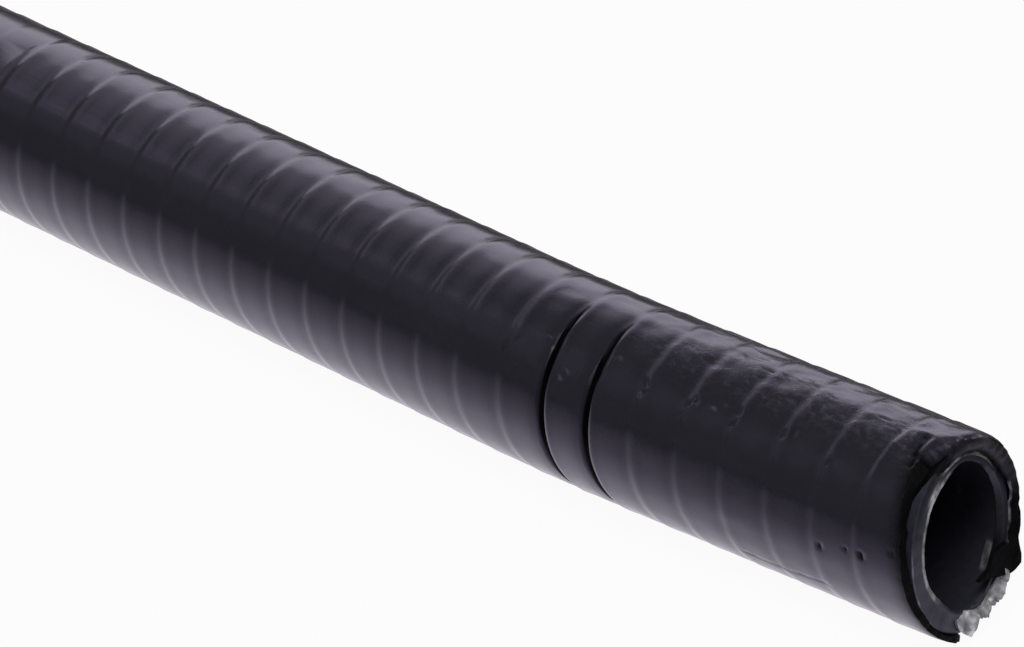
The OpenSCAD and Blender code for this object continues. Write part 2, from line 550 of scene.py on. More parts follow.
# %% Wall helper
class Wall:
    """A wall in the making: straight points in mm, the wear and painted highlight and the black and painted
    shade of each, faces and finishes.
    """

    def __init__(self):
        self.points, self.faces, self.finish = np.zeros((0, 3)), [], []
        self.wear_and_highlight, self.black_and_painted_shade = np.zeros(0), np.zeros(0)

    def add(self, points, faces=(), finish=0, wear_and_highlight=0, black_and_painted_shade=0):
        """The numbers of new points. Their faces count from the first of them."""
        start = len(self.points)
        self.points = np.vstack([self.points, points])
        self.wear_and_highlight = np.concatenate([self.wear_and_highlight, np.broadcast_to(wear_and_highlight, len(points))])
        self.black_and_painted_shade = np.concatenate([self.black_and_painted_shade, np.broadcast_to(black_and_painted_shade, len(points))])
        self.faces += [[start + i for i in face] for face in faces]
        self.finish += [finish] * len(faces)
        return np.arange(start, len(self.points))

    def band(self, ring, other, finish=0):
        """Faces between two closed rings. The second may have several points for each of the first."""
        parts = len(other) // len(ring)
        for i, point in enumerate(ring):
            far = [other[(i * parts + k) % len(other)] for k in range(parts + 1)]
            self.faces.append([point, ring[(i + 1) % len(ring)]] + far[::-1])
        self.finish += list(np.broadcast_to(finish, len(ring)))

    def rings(self, start, shapes, around, finish=0):
        """Bands from a ring on through new ones, each with its place, radius, wear and painted highlight, and
        black and painted shade.
        """
        for along, radius, *look in shapes:
            wear_and_highlight, black_and_painted_shade = (*look, 0, 0)[:2]
            ring = self.add(tube_points(along, around, radius), wear_and_highlight=wear_and_highlight, black_and_painted_shade=black_and_painted_shade)
            self.band(start, ring, finish)
            start = ring
        return start

    def ring_at(self, indices, place):
        """The points of a skin that lie at one place along the tube, in order around it."""
        along, around, _ = tube_places(self.points[indices])
        here = np.abs(along - place) < 0.0005
        around = np.where(around > 180 - 0.01, around - 360, around)
        return indices[here][np.argsort(around[here])]


COLUMNS = 72
END_COLUMNS = 4 * COLUMNS
columns_around = np.arange(COLUMNS) * 360 / COLUMNS - 180
end_around = np.arange(END_COLUMNS) * 360 / END_COLUMNS - 180
print(f"{COLUMNS} columns of points around the tube, and {END_COLUMNS} at the cut end")

# %% [markdown]
# ## The cover's skin
#
# The marks lie 5.65 mm apart, the length of one turn, and not quite evenly near the bend. Most of the
# length needs only three rows of faces a turn: one in the furrow, one on the ridge and one between. Both ends
# and the part that the camera is close to get more rows, and the last turns get more columns too.

# %% Wind the cover
SQUARE_TO, NEAR_FROM, END_FROM, END_TO = SQUARE_END + 60, -84.0, -3.0, 51.0
STEP_W, STEP_H = 0.6, 0.038
# The ridges stay this far inside the CAD solid.
CLEARANCE = 0.005
# The last skin starts after a short gap, which a band with more columns on one side bridges later.
SKIN_GAP = 0.4
# At three rows a turn, this much crowding puts one row in the furrow and one on the ridge.
V_CROWDING = (1 / 3 - STEP_W / PITCH) * 2 * math.pi / math.sin(2 * math.pi / 3)
CROWDING, END_CROWDING = 0.75, 0.55
cover_look = {
    "Radius": COVER_R - STEP_H - CLEARANCE,
    "Step width": STEP_W,
    "Step height": STEP_H,
    "Finish": black_pvc,
}
cover = Wall()
# Each skin has a first and a last place, a number of columns, rows a turn, and how much the rows crowd.
square_skin = cover.add(*wound_skin(cover_look, SQUARE_END, SQUARE_TO, COLUMNS, 8, CROWDING))
tail_skin = cover.add(*wound_skin(cover_look, SQUARE_TO, NEAR_FROM, COLUMNS, 3, V_CROWDING))
near_skin = cover.add(*wound_skin(cover_look, NEAR_FROM, END_FROM, COLUMNS, 12, CROWDING))
end_points, end_faces = wound_skin(
    cover_look, END_FROM + SKIN_GAP, END_TO, END_COLUMNS, 16, END_CROWDING
)
print("cover skin:", len(square_skin), len(tail_skin), len(near_skin), len(end_points), "points")

# %% [markdown]
# ## Chance and slopes
#
# No hand made cut is even. Chance comes from a generator with a fixed seed, so that each run gives the same
# tube. Every look fades in and out over some distance, and small helpers make those slopes.

# %% Chance and slopes
chance = np.random.default_rng(12)


def ragged(size, count):
    """A rough edge: chance steps up to a size, at so many places around, for each end column."""
    places = np.arange(count) * 360 / count - 180
    return np.interp(end_around, places, chance.uniform(-size, size, count), period=360)


def smooth(value, low, high):
    """0 below one value, 1 above another, and an even slope between."""
    share = np.clip((value - low) / (high - low), 0, 1)
    return share * share * (3 - 2 * share)


def between(value, low, full, fading, high):
    """A slope up from the first value to the second, and down from the third to the fourth."""
    return smooth(value, low, full) * (1 - smooth(value, fading, high))


def hump(offset, width):
    """1 where the offset is 0, and falling to 0 on either side."""
    return np.exp(-((offset / width) ** 2))


def part_way(start, end, share):
    """The value at a share of the way from one to another."""
    return start + share * (end - start)


print("a quarter of the way along a slope it has risen to", round(float(smooth(0.25, 0, 1)), 3))

# %% [markdown]
# ## The cover's cut end
#
# The cut was made by hand. It slants, it runs unevenly, and at the bottom the cover tore away. A Boolean
# would cut it on one clean plane. Here some places of the edge are joined by straight lines and made rough
# by chance instead.

# %% The edge of the cut
edge_around = (
    -180, -165, -150, -138, -132, -127, -121, -115, -108, -88, -64, -51, -29, -20, -10, 0, 10, 20,
    26, 33, 44, 55, 66, 79, 93, 103, 114, 125, 140, 152, 162, 168, 173, 177, 180,
)
edge_along = (
    44, 43.8, 44, 44.6, 45.6, 46.1, 46.4, 45.8, 45.2, 44.7, 44.9, 45.2, 45.9, 46.4, 46.6, 46.4, 46, 45.6,
    45.4, 45.7, 46.2, 46.9, 47.5, 48, 48.3, 48.5, 48.8, 49.1, 49.1, 49.1, 48.9, 48.5, 47.2, 45, 44,
)
edge = np.interp(end_around, edge_around, edge_along) + ragged(0.1, 96)
print(f"the edge runs from {edge.min():.1f} to {edge.max():.1f} mm past the elbow")

# %% [markdown]
# Every point past the edge is pulled back onto it. Just short of it the skin is rounded, as soft plastic is
# under a blade. The shaded side keeps a sharper edge, and painted shade darkens it towards the cut.

# %% Cut the cover's end
ROUND_L, ROUND_H = 0.9, 0.26
EDGE_DROP, SHADE_L = 0.03, 2.2
# The shaded side is rounded less by this share.
SHARPER = 0.6
along, around, radius = tube_places(end_points)
column = np.round((around + 180) * END_COLUMNS / 360).astype(int) % END_COLUMNS
past = along >= edge[column]
along = np.where(past, edge[column], along)
radius = np.where(past, COVER_R - EDGE_DROP, radius)
shaded = between(end_around, 15, 35, 165, 178)
round_h = ROUND_H * (1 - SHARPER * shaded)
radius = radius - round_h[column] * np.clip(1 - (edge[column] - along) / ROUND_L, 0, 1) ** 2
end_points = tube_points(along, end_around[column], radius)
end_points, first, kept = np.unique(np.round(end_points, 4), axis=0, return_index=True, return_inverse=True)
end_faces = [list(dict.fromkeys(kept.ravel()[face])) for face in end_faces]
column, past, to_edge = column[first], past[first], (edge[column] - along)[first]
# Painted shade: the shaded side darkens towards the cut.
painted_edge_shade = shaded[column] * np.clip(1 - to_edge / SHADE_L, 0, 1) ** 2
end_skin = cover.add(end_points, [face for face in end_faces if len(face) > 2], black_and_painted_shade=painted_edge_shade)
on_edge = end_skin[past][np.argsort(column[past])]
print("points on the cut edge:", len(on_edge))

# %% [markdown]
# The saw cut the core on a slanted plane. On top the cover curls in over the core's edge, because the blade
# pushed it there. At the bottom the last turn of the strip sprang open and pressed the cover thin. Both are
# worked out column by column, so that the cover and the core agree on where they meet.

# %% The sawn plane
CUT_PLACE, CUT_SLOPE, CUT_LEAN = 46.5, 0.29, 0.067
# Near the bottom the saw wandered this far off its plane.
WANDER = 0.6
side, top = np.sin(np.radians(end_around)), np.cos(np.radians(end_around))


def sawn_place(radius):
    """The place along of the sawn plane, for each end column, at a radius."""
    plane = CUT_PLACE + radius * (CUT_SLOPE * side - CUT_LEAN * top)
    return plane + WANDER * smooth(np.abs(end_around), 120, 165)


cut_span = np.ptp(sawn_place(CORE_R))
print(f"the sawn end of the core slants over {cut_span:.1f} mm")

# %% [markdown]
# The inner edge of the cover follows from these. On top it is drawn in to the curl's radius, at the bottom it
# is pushed out by the sprung strip, and on the far side it is torn back.

# %% The curl, the spring and the tear
CURL_R, SPRING_H, TORN_L, CURL_PROUD = 7.08, 0.35, 1.2, 0.16
curl = between(end_around, -88, -50, 15, 65)
spring = SPRING_H * between(end_around, 105, 150, 171, 178)
inner_r = COVER_IN_R + spring + curl * (CURL_R - COVER_IN_R) + ragged(0.05, 72)
inner_place = edge + ragged(0.08, 72)
inner_place -= TORN_L * between(-end_around, 62, 112, 128, 150)
inner_place = part_way(inner_place, sawn_place(CURL_R) + CURL_PROUD, curl)
print(f"the cover's inner edge has a radius from {inner_r.min():.2f} to {inner_r.max():.2f} mm")

# %% [markdown]
# ## The cut face of the cover
#
# The face of the cut is a row of rings from the outer edge to the inner one. On top it bulges, because the
# blade rolled the soft plastic in. One flat band would be enough for a clean cut, but this one shows its
# bulge, its dark sides of black cut plastic with painted shade, and a painted glint on the far side.

# %% Fold the cut face in
BULGE, FACE_ROUGH = 0.3, 0.06
# Away from the curl the face has this share of its roughness.
FLAT_SHARE = 0.2
COVER_SHARES = (0.15, 0.3, 0.5, 0.64, 0.74, 1)
# How far the edge, and each ring but the last, keeps the look of the skin on the curl. The rest is painted
# black, as black cut plastic with painted shade.
EDGE_SIGHT, RING_SIGHTS = 0.7, (0.5, 0.45, 0.45, 0.45, 0.35)
edge_r = COVER_R - EDGE_DROP - round_h
shapes = []
for share in COVER_SHARES:
    bulge = BULGE * 4 * share * (1 - share) * curl
    rough_face = part_way(FLAT_SHARE, 1, curl) * ragged(FACE_ROUGH, 144)
    place = part_way(edge, inner_place, share) + bulge + rough_face
    shapes.append((place, part_way(edge_r, inner_r, share)))
shown = between(end_around, -88, -50, 14, 30)
# Where they are not shown, the edge and the cut face are painted black: black cut plastic with painted shade.
cover.black_and_painted_shade[on_edge] = 1 - EDGE_SIGHT * shown
bared = [(*shape, shown, 1 - sight * shown) for shape, sight in zip(shapes, RING_SIGHTS)]
face_finish = np.where(shown > 0.02, 0, 1)
cut = cover.rings(on_edge, bared, end_around, face_finish)
# A painted glint along the cover's inner edge on the far side.
glint = between(end_around, -126, -112, -84, -70)
face_finish = np.where(glint > 0.05, 2, face_finish)
cut = cover.rings(cut, [(*shapes[-1], glint, 1)], end_around, face_finish)
print("rings on the cut face:", len(shapes))

# %% [markdown]
# The rest of the wall is out of sight, so plain rings far apart are enough. They close the piece, because a
# closed piece has a clear inside and outside and can be printed or simulated.

# %% Close the cover
HIDDEN_FROM, HIDDEN_RINGS = 40.0, 40
LAST_FINE = HIDDEN_FROM + 0.5
FIRST_HIDDEN = HIDDEN_FROM - 10
# How far the wall steps back behind its inner edge, and how close the curl sits to the end of the core.
LIP_BACK, SEAT_BACK, WALL_BACK, SEAT_GAP = 0.15, 0.3, 1.2, 0.06
behind = part_way(inner_place - LIP_BACK, sawn_place(CURL_R) + SEAT_GAP, curl)
seat = part_way(inner_place - SEAT_BACK, sawn_place(COVER_IN_R) + SEAT_GAP, curl)
cut = cover.rings(
    cut,
    (
        (behind, inner_r + 0.01, 0, 1),
        (seat, COVER_IN_R + spring, 0, 1),
        (np.minimum(seat, edge) - WALL_BACK, COVER_IN_R + spring, 0, 1),
        (LAST_FINE, COVER_IN_R, 0, 1),
    ),
    end_around,
)
hidden_places = np.linspace(FIRST_HIDDEN, SQUARE_END, HIDDEN_RINGS)
inside = cover.add(tube_points(HIDDEN_FROM, columns_around, COVER_IN_R))
cover.band(inside, cut)
inside = cover.rings(inside, [(place, COVER_IN_R) for place in hidden_places], columns_around)
cover.band(inside, cover.ring_at(square_skin, SQUARE_END), 1)
cover.band(cover.ring_at(square_skin, SQUARE_TO), cover.ring_at(tail_skin, SQUARE_TO))
cover.band(cover.ring_at(tail_skin, NEAR_FROM), cover.ring_at(near_skin, NEAR_FROM))
cover.band(cover.ring_at(near_skin, END_FROM), cover.ring_at(end_skin, END_FROM + SKIN_GAP))
print("cover:", len(cover.points), "points", len(cover.faces), "faces")

# %% [markdown]
# ## Creases, dents and uneven turns
#
# Two marks on the bend are pressed into deep creases on the side that bulges, each with a raised lip. Bump in
# the material could only hint at them, so the points themselves are moved. A crease fades out towards the top
# and the bottom, and its deep part is painted black as shade.

# %% Press the creases
CREASES = (1, 2)
CREASE_W, CREASE_D, CREASE_WANDER = 0.72, 0.5, 0.03
# The side of a crease slopes from this far inside its width to this far outside.
CREASE_IN, CREASE_OUT = 0.2, 0.15
# The painted shade lies a little to one side of the crease and fades over this width.
PAINTED_SHADE_AT, PAINTED_SHADE_W = -0.06, 0.26
# The place, width and height of the lip after a crease, and of the slope that leads down to it.
LIP_AT, LIP_W, LIP_H = 0.65, 0.22, 0.05
SLOPE_AT, SLOPE_W, SLOPE_H = -0.6, 0.5, 0.07
along, around, radius = tube_places(cover.points)
# A place's turn is a whole number on each mark.
turn = (along - MARK_PLACE) / PITCH - around / 360
# Only the outer skin is pressed. It starts above the middle of the wall.
SKIN_FROM, SKIN_FULL = COVER_IN_R + 0.5, COVER_IN_R + 0.65
outer = smooth(radius, SKIN_FROM, SKIN_FULL)
black_and_painted_shade = cover.black_and_painted_shade.copy()
reach = outer * between(around, 10, 50, 150, 178)
# A crease is widest at the side. It narrows to nothing on top and to half below.
half_w = CREASE_W / 2 * smooth(around, -5, 60) * (1 - 0.5 * smooth(around, 110, 165))
for number in CREASES:
    wander = CREASE_WANDER * np.sin(np.radians(9 * around + 120 * number))
    off = (turn - number) * PITCH + wander
    dip = 1 - smooth(np.abs(off), half_w - CREASE_IN, half_w + CREASE_OUT)
    # Painted shade: black in the deep part of the crease.
    shade = 1 - smooth(np.abs(off - PAINTED_SHADE_AT), half_w, half_w + PAINTED_SHADE_W)
    lip = LIP_H * hump(off - LIP_AT, LIP_W)
    slope = SLOPE_H * hump(off - SLOPE_AT, SLOPE_W)
    radius = radius + reach * (lip - slope - CREASE_D * dip)
    black_and_painted_shade = np.maximum(black_and_painted_shade, smooth(reach, 0.01, 0.06) * shade)
print(f"creases {CREASE_D} mm deep at marks", CREASES)

# %% [markdown]
# On top, painted shade darkens the furrow beside each mark and draws it as a thin dark line. It has no depth
# of its own, so only the painted shade changes.

# %% Painted shade in the furrows
FURROW_W = 0.3
furrow = (turn - np.round(turn)) * PITCH + STEP_W
on_top = between(around, -110, -25, -6, 4) * smooth(along, NEAR_FROM, NEAR_FROM + 8)
# Painted shade in the furrow beside each mark.
furrow_shade = outer * on_top * hump(furrow, FURROW_W)
black_and_painted_shade = np.maximum(black_and_painted_shade, furrow_shade)
print("points with grime:", int((furrow_shade > 0.5).sum()))

# %% [markdown]
# The end has been knocked about: it has small nicks, a few pits, a crack below, cracks on top and a gash at
# the cut. Each is a groove along a few places, and a fleck is the same with a height. One list holds them
# all, so that one loop can press them.

# %% List the dents
# Each has its width and depth in mm, how much painted shade darkens it, and its places along and around.
dents = [
    (0.7, 0.3, 1, ((43.9, 11), (44.3, 20), (45.2, 33))),
    (0.4, 0.2, 1, ((37.9, 96), (38, 97.5))),
    (0.3, 0.2, 1, ((41.4, 92), (41.4, 92.5))),
    (0.45, 0.2, 1, ((43.4, 91), (43.6, 93))),
    (0.35, 0.2, 1, ((47.1, 83), (47.1, 84.5))),
    (0.2, 0.1, 0, ((26.9, 128), (29, 129.5), (31.8, 129), (35, 127), (37.9, 125.5))),
]
# Two small nicks sit near the lower end of each upper mark, one of them with a little painted shade.
NICK_W, NICK_D, NICK_AROUND, NICKED_MARKS = 0.35, 0.09, 50, 8
for number in range(NICKED_MARKS):
    turned = NICK_AROUND + chance.uniform(-5, 5)
    place = MARK_PLACE + PITCH * (number + turned / 360) + chance.uniform(-0.3, 0.3)
    for painted_shade_share in (0, 0.3):
        aside, down = chance.uniform(-0.9, 0.9), chance.uniform(-7, 7)
        start = (place + aside, turned + down)
        end = (start[0] + chance.uniform(-0.5, 0.5), start[1] - 3)
        dents.append((NICK_W, NICK_D, painted_shade_share, (start, end)))
# Fine cracks run along the scuffed top.
CRACK_W, CRACK_D = 0.2, 0.04
cracked = (
    (20, 5), (21.5, 1), (23.3, 8), (25, 4), (27.3, 6),
    (28.6, 4), (31.6, 11), (37.4, 8), (39.4, 11), (41, 12),
)
for place, turned in cracked:
    for _ in range(2):
        start = (place + chance.uniform(-0.7, 0.3), turned + chance.uniform(-3, 3))
        end = (start[0] + chance.uniform(0.7, 1.6), start[1] + chance.uniform(-3, 5))
        dents.append((CRACK_W, CRACK_D, chance.uniform(0.7, 1), (start, end)))
# Small flecks of plastic stand up around the nicks on the bend.
FLECK_W, FLECK_H = 0.26, 0.04
flecks = np.random.default_rng(3)
flecked = (
    (1.3, 45), (5.2, 56), (7.9, 54), (9.1, 37), (13.5, 56),
    (19, 44), (19.5, 55), (25, 53), (22.9, 45),
)
for place, turned in flecked:
    for _ in range(3):
        start = (place + flecks.uniform(-0.7, 0.7), turned + flecks.uniform(-6, 6))
        end = (start[0] + flecks.uniform(-0.3, 0.3), start[1] + flecks.uniform(1, 3))
        dents.append((FLECK_W, -FLECK_H, 0, (start, end)))
print("dents and flecks:", len(dents))

# %% [markdown]
# The skin is unrolled to a flat sheet for this: its distance from each line gives the depth there. Points
# inside the wall are left alone.

# %% Press the dents
# The side of a dent slopes from this far inside its width to this far outside.
SLOPE_IN, SLOPE_OUT = 0.12, 0.1
flat = np.column_stack([along, np.radians(around) * COVER_R])
fleck = np.zeros(len(flat))
for width, depth, painted_shade_share, places in dents:
    corners = np.array([(place, math.radians(turned) * COVER_R) for place, turned in places])
    near = np.full(len(flat), np.inf)
    for start, step in zip(corners[:-1], np.diff(corners, axis=0)):
        share = np.clip((flat - start) @ step / (step @ step), 0, 1)
        near = np.minimum(near, np.linalg.norm(flat - start - share[:, None] * step, axis=1))
    dip = outer * (1 - smooth(near, width / 2 - SLOPE_IN, width / 2 + SLOPE_OUT))
    radius = radius - depth * dip
    # Pits, cracks, the gash and some nicks are painted dark as shade.
    black_and_painted_shade = np.maximum(black_and_painted_shade, painted_shade_share * dip)
    if depth < 0:
        fleck = np.maximum(fleck, dip)
cover.black_and_painted_shade = black_and_painted_shade
print("points that look black:", int((black_and_painted_shade > 0.5).sum()))

# %% [markdown]
# Handling left the top of the end slightly crumpled, so the light along it is broken up. A noise texture
# could push the skin about. A sum of many slow waves does the same here, with its lengths in millimetres and
# no modifier to apply.

# %% Crumple the end
WAVES = 24
# How strongly the whole end and the top of the tail are crumpled, beside the rubbed top of the end.
END_SHARE, TAIL_SHARE = 0.35, 0.9
# Towards the side the rubbed top loses this share.
RUB_LOSS = 0.7
crumple, wrinkle = np.zeros(len(flat)), np.zeros(len(flat))
for height, wave_l, waves in ((0.005, (1.6, 4.5), crumple), (0.0025, (0.8, 1.5), wrinkle)):
    for _ in range(WAVES):
        heading, phase = chance.uniform(0, 2 * math.pi, 2)
        wave = 2 * math.pi / chance.uniform(*wave_l)
        waves += height * np.sin(wave * (flat @ (0.5 * math.cos(heading), math.sin(heading))) + phase)
tail_top = smooth(along, -90, -80) * between(around, -40, -20, 10, 40)
worn_top = smooth(along, 4, 16) * between(around, -40, -12, 20, 42)
rubbed = worn_top * (1 - RUB_LOSS * smooth(around, 4, 16))
crumpled = END_SHARE * smooth(along, 6, 16) + TAIL_SHARE * tail_top + rubbed
hollows = crumpled * crumple + rubbed * wrinkle
radius = np.minimum(radius + outer * hollows, COVER_R)
print(f"the hollows are up to {np.abs(outer * hollows).max():.3f} mm deep")

# %% [markdown]
# The turns of a strip shift when the tube is bent. Here they lie a little unevenly near the bend, and lean.
# The winding tree could take more inputs for that, but the whole wall can simply be shifted along itself.

# %% Shift the turns
# The places of some marks at the side, by their number.
uneven = {-12: -70.68, -6: -36.62, -1: -8.77, 0: -2.8, 1: 2.9, 2: 8.6, 8: 42.99}
even_place = np.array([MARK_PLACE + PITCH * (number + 0.25) for number in uneven])
shift = np.array(list(uneven.values())) - even_place
# The top and the bottom of a turn lean apart, each by so many mm.
LEAN = 0.3
# Both shifts die out towards the two ends.
fade = between(along, -140, -100, 40, 43)
moved = along + fade * (np.interp(along, even_place, shift) + LEAN * np.cos(np.radians(around - 20)))
cover.points = tube_points(moved, around, radius)
print(f"the turns shift by {np.abs(moved - along).max():.2f} mm at most")

# %% [markdown]
# The skin is scuffed where hands and the bench rubbed it: on top near the cut, at each fleck, and faintly all
# over. The PVC reads this from the attribute `wear_and_highlight`. A value above 1 makes the noise in the material cover
# the whole fleck.

# %% How scuffed the cover is
FLECK_WORN, WORN_ALL_OVER = 3.0, 0.05
cover.wear_and_highlight = np.maximum(np.maximum(cover.wear_and_highlight, worn_top), np.maximum(FLECK_WORN * fleck, WORN_ALL_OVER))
print("well scuffed points:", int((cover.wear_and_highlight > 0.5).sum()))

# %% [markdown]
# ## From a wall to a piece
#
# A wall becomes a mesh object here. bmesh turns all faces outwards and counts the open edges, because a good
# piece has none. Faces that meet at a wide angle keep a sharp edge, and the rest is shaded smooth. The object
# itself stays at the origin, so that patterns on Object coordinates stay where they are.


# %% Make pieces
def make_piece(name, wall, finishes, sharp):
    """A mesh object from a wall, laid on the path, with edges past an angle kept sharp."""
    mesh = bpy.data.meshes.new(name)
    mesh.from_pydata(lay_on_path(wall.points), [], [[int(i) for i in face] for face in wall.faces])
    for finish in finishes:
        mesh.materials.append(finish)
    mesh.polygons.foreach_set("material_index", wall.finish)
    for look, values in (("wear_and_highlight", wall.wear_and_highlight), ("black_and_painted_shade", wall.black_and_painted_shade)):
        mesh.attributes.new(look, "FLOAT", "POINT").data.foreach_set("value", values)
    work = bmesh.new()
    work.from_mesh(mesh)
    bmesh.ops.recalc_face_normals(work, faces=work.faces)
    open_edges = sum(1 for e in work.edges if not e.is_manifold)
    work.to_mesh(mesh)
    work.free()
    mesh.shade_smooth()
    mesh.set_sharp_from_angle(angle=math.radians(sharp))
    piece = new_object(name, mesh)
    triangles = sum(len(face.vertices) - 2 for face in mesh.polygons)
    print(f"{name}: {triangles} triangles, {open_edges} open edges")
    return piece


print("points to lay on the path:", len(cover.points))

# %% [markdown]
# ## The torn tag
#
# A black tag of the torn cover is folded in across the core's end. Cloth simulation could drape it, but it is
# stiff and only a few millimetres wide. An outline of ten corners with a thickness is enough.

# %% The torn tag
TAG_T = 0.5
tag_around = np.array((-112, -113, -116, -120, -125, -132, -149, -160, -140, -124))
tag_radius = np.array((6.2, 7.9, 8.7, 8.3, 8.5, 7.7, 5.4, 4.9, 5.1, 5.0))
tag_along = np.array((46.2, 45.7, 45.6, 45.9, 46.0, 46.4, 47.0, 47.1, 46.8, 46.4))
count = len(tag_around)
tag_faces = [list(range(count)), list(range(count, 2 * count))]
tag_faces += [[i, (i + 1) % count, count + (i + 1) % count, count + i] for i in range(count)]
tag = np.vstack([tube_points(tag_along - back, tag_around, tag_radius) for back in (0, TAG_T)])
cover.add(tag, tag_faces, finish=1)
cover_piece = make_piece("cover", cover, [black_pvc, torn_pvc, painted_glint_pvc], sharp=60)

# %% [markdown]
# ## The core
#
# The core is seen only at the cut: its bore, the bright inner lip that the saw left, and the flat end of
# the folded strip. The same tree winds the bore, with a narrower and deeper step for the open seam.

# %% Wind the bore
SEAM_W, SEAM_D = 0.3, 0.12
core_look = {"Radius": BORE_R, "Step width": SEAM_W, "Step height": SEAM_D, "Finish": strip_steel}
core = Wall()
bore = core.add(*wound_skin(core_look, SQUARE_END, HIDDEN_FROM, COLUMNS, 3, V_CROWDING))
print("bore:", len(bore), "points")

# %% [markdown]
# The saw turned the inner edge of the ring into a bright burr on one side. On top a bright line shows just
# below the curled cover: bare metal with a painted highlight. On the far side painted shade darkens the
# metal, the curled cover's shadow is painted on the face, a painted glint lights the bore and a painted
# highlight runs along the outer rim below. First the script works out the shape of the ring and where around
# it each of these lies.

# %% Where the sawn metal is bare
FACE_R, BURR_W, FLARE_H, BURR_H = 7.06, 0.14, 0.45, 0.5
burr = ragged(0.03, 72)


def core_cut(radius, back=0.0):
    """A ring of the sawn end: its place along, set back a little, and its radius."""
    return sawn_place(radius) - back + burr, radius


flare = between(-end_around, 30, 70, 130, 160)
turned_in = between(end_around, -10, 25, 135, 165)
lip_r = BORE_R + FLARE_H * flare - BURR_H * turned_in + ragged(0.04, 96)
CORE_SHARES = (0, 0.28, 0.44, 0.62, 0.72, 1)
face_r = [part_way(lip_r + BURR_W, FACE_R, share) for share in CORE_SHARES]
# How bright each place is, as bare metal and painted highlight, and its painted shade, at its middle, and
# where around the end it rises and fades.
bare_burr = part_way(0.72, 1, hump(end_around - 42, 22)) * between(end_around, -5, 20, 120, 165)
bare_patch = hump(end_around - 38, 11)
# A bare edge with a painted highlight, just below the curled cover.
bare_and_highlit_line = between(end_around, -58, -30, 14, 30)
# A painted glint on the bore wall.
painted_bore_glint = 0.5 * between(end_around, -143, -137, -118, -112)
# A painted highlight along the outer rim.
painted_rim_highlight = 0.45 * between(end_around, 70, 95, 135, 155)
# Painted shade on the far side, where the cover shades the metal.
painted_far_shade = 0.75 * between(-end_around, 60, 85, 140, 160)
# A painted shadow of the curled cover on the ring's face.
painted_flap_shadow = 0.5 * between(end_around, 22, 34, 60, 90)
print(f"the lip's radius runs from {lip_r.min():.2f} to {lip_r.max():.2f} mm")

# %% [markdown]
# Then rings go from the bore over the burr, across the face of the cut and back along the outside. Each gives
# its place, its radius, how bright it is, as bare metal and painted highlight, and its painted shade. The
# square end is a plain saw cut, with a bright face.

# %% The sawn end of the core
# The rings go from the bore outwards, each set back from the sawn plane by so many mm.
sawn = core.rings(
    core.ring_at(bore, HIDDEN_FROM),
    (
        (LAST_FINE, BORE_R),
        core_cut(BORE_R, 1.35),
        (*core_cut(BORE_R, 1.2), painted_bore_glint),
        (*core_cut(BORE_R, 0.5), painted_bore_glint),
        (*core_cut(BORE_R, 0.35), 0, painted_far_shade),
        (*core_cut(lip_r, 0.16), bare_burr, painted_far_shade),
        (*core_cut(face_r[0]), bare_burr, painted_far_shade),
        (*core_cut(face_r[1], -0.03), np.maximum(0.95 * bare_burr, bare_patch)),
        (*core_cut(face_r[2]), np.maximum(0.15 * bare_burr, bare_patch)),
        (*core_cut(face_r[3]), np.maximum(0.2 * bare_and_highlit_line, bare_patch)),
        (*core_cut(face_r[4], -0.14 * bare_and_highlit_line), np.maximum(bare_and_highlit_line, 0.7 * bare_patch)),
        (*core_cut(face_r[5], 0.04 * bare_and_highlit_line), bare_and_highlit_line, 0.6 * painted_flap_shadow),
        (*core_cut(7.3), 0, painted_flap_shadow),
        (*core_cut(7.62 + spring), 0, painted_flap_shadow),
        (*core_cut(7.74 + spring, 0.02), painted_rim_highlight),
        core_cut(CORE_R + spring, 0.12),
        core_cut(CORE_R + spring, 0.9),
        core_cut(CORE_R, 2.6),
        (LAST_FINE, CORE_R),
    ),
    end_around,
)
outside = core.add(tube_points(HIDDEN_FROM, columns_around, CORE_R))
core.band(outside, sawn)
CHAMFER = 0.1
outside_places = np.linspace(FIRST_HIDDEN, SQUARE_END + CHAMFER, HIDDEN_RINGS)
square_face = ((CORE_R - CHAMFER, 0.5), (BORE_R + 0.25, 0.4), (BORE_R + 0.08, 0.75))
outside_shapes = [(place, CORE_R) for place in outside_places]
outside_shapes += [(SQUARE_END, radius, bare) for radius, bare in square_face]
outside = core.rings(outside, outside_shapes, columns_around)
core.band(outside, core.ring_at(bore, SQUARE_END))
print("core:", len(core.points), "points", len(core.faces), "faces")

# %% [markdown]
# ## The torn tongue
#
# At the bottom the strip tore before the saw was through. A tongue of it is bent out over the cut, bright
# on its face and jagged at its edge, and the cover is ripped back behind it. It is lofted through five
# crumpled rows of points and given the thickness of the strip.

# %% The torn tongue
TONGUE_T, TONGUE_JAG, TONGUE_CRUMPLE = 0.35, 0.12, 0.2
# At its root the tongue stands out by this share of what it does at its edge.
TONGUE_ROOT = 0.55
tongue_around = (163, 167, 171, 176, 181, 187, 191, 196, 202, 208, 213, 218, 223, 227, 231)
tongue_in_r = (6.9, 6.5, 6.3, 6.35, 6.5, 6.75, 6.9, 7, 7, 6.9, 6.85, 6.8, 6.8, 6.8, 6.9)
tongue_out_r = (7.1, 7.9, 8.2, 8.45, 8.2, 7.4, 7.7, 7.95, 7.4, 7.6, 7.9, 8.1, 7.7, 7.85, 7.1)
tongue_proud = (0.8, 1, 1.2, 1.4, 1.4, 1.5, 1.5, 1.6, 1.5, 1.5, 1.5, 1.5, 1.5, 1.5, 1.4)
tongue_bare = (0.6, 0.9, 1, 1, 0.95, 0.7, 0.8, 0.85, 0.65, 0.7, 0.85, 0.8, 0.65, 0.6, 0.5)
TONGUE_SHARES = (0, 0.25, 0.5, 0.75, 1)
turned = np.arange(tongue_around[0], tongue_around[-1] + 0.1, 1.5)
